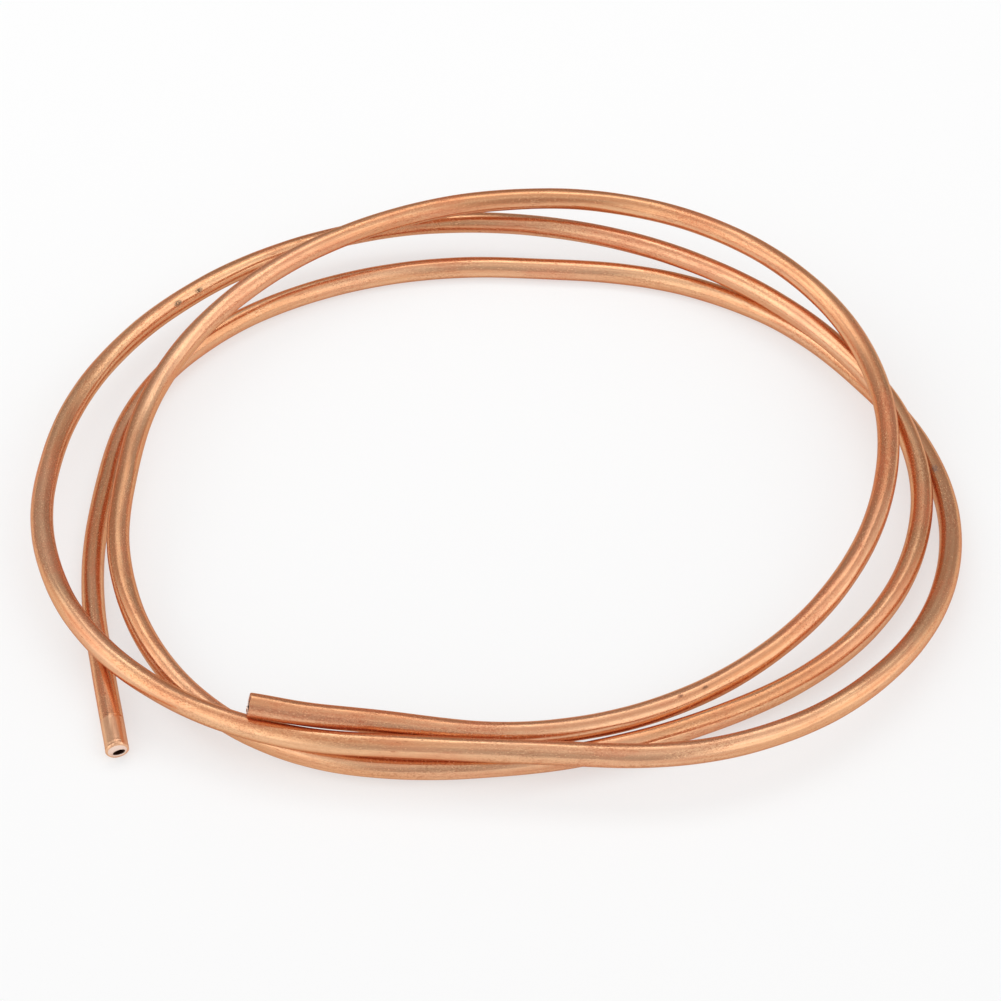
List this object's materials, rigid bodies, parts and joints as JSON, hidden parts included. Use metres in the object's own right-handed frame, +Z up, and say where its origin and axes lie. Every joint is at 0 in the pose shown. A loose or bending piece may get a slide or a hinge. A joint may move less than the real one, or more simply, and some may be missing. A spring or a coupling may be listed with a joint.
{
  "type": "copper tube coil",
  "caption": "Loose flat coil of soft drawn copper tube, its turns crossing and lying on one another, with two square-cut open ends",
  "frame": {"origin": "on the floor under the middle of the coil's box", "axes": "+Z up out of the floor on which the coil lies flat; -Y is the side on which both ends lie; the tube runs counter-clockwise seen from above, from its upper end down to its lower end"},
  "size_m": [0.2469, 0.2221, 0.0227],
  "materials": {
    "copper": "bright drawn copper, satin, with fine drawing streaks along the tube, light scratches and small dark oxide specks"
  },
  "bodies": {
    "root": {"copper_tube": "copper"}
  },
  "joints": []
}
